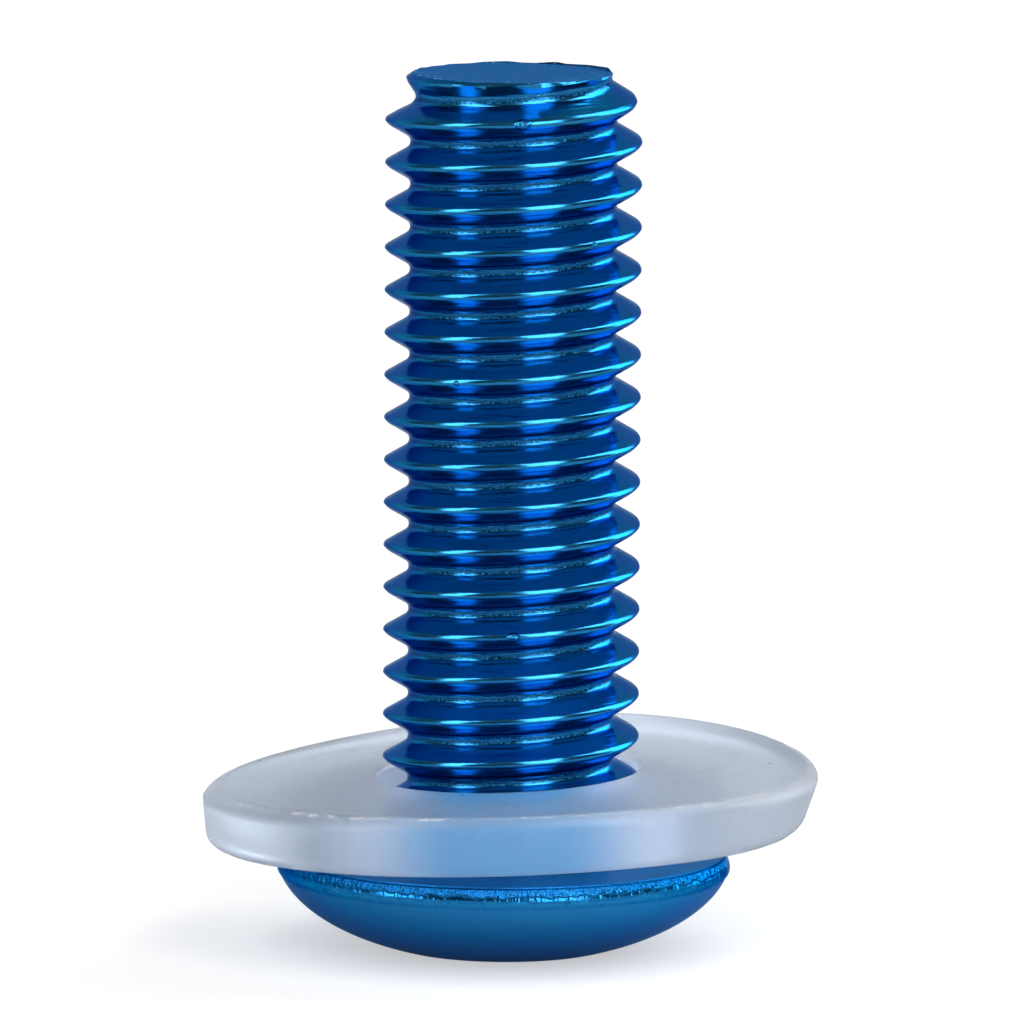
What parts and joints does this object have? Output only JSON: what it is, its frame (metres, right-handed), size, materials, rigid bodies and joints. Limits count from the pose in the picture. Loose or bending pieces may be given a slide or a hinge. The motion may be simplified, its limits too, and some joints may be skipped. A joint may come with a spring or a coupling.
{
  "type": "domed machine screw with gripping washer",
  "caption": "Blue anodised machine screw with a low domed head and full thread, standing on its head, with a milky plastic washer that grips the thread to hold the screw in a panel.",
  "frame": {"origin": "middle of the flat ring round the hex socket, which the screw stands on", "axes": "+Z along the screw's axis, from the head to the threaded end; the washer's high side is towards +X"},
  "size_m": [0.0144, 0.0144, 0.0206],
  "materials": {
    "anodised_blue": "bright blue anodised, glossy on the thread and satin on the dome",
    "milky_nylon": "natural milky nylon, translucent and lightly frosted"
  },
  "bodies": {
    "screw_body": {"screw": "anodised_blue"},
    "washer_body": {"washer": "milky_nylon"}
  },
  "joints": [
    {"name": "washer_slide", "type": "slide", "parent": "screw_body", "child": "washer_body", "axis": [0, 0, 1], "range_m": [-0.00026, 0.016]}
  ]
}
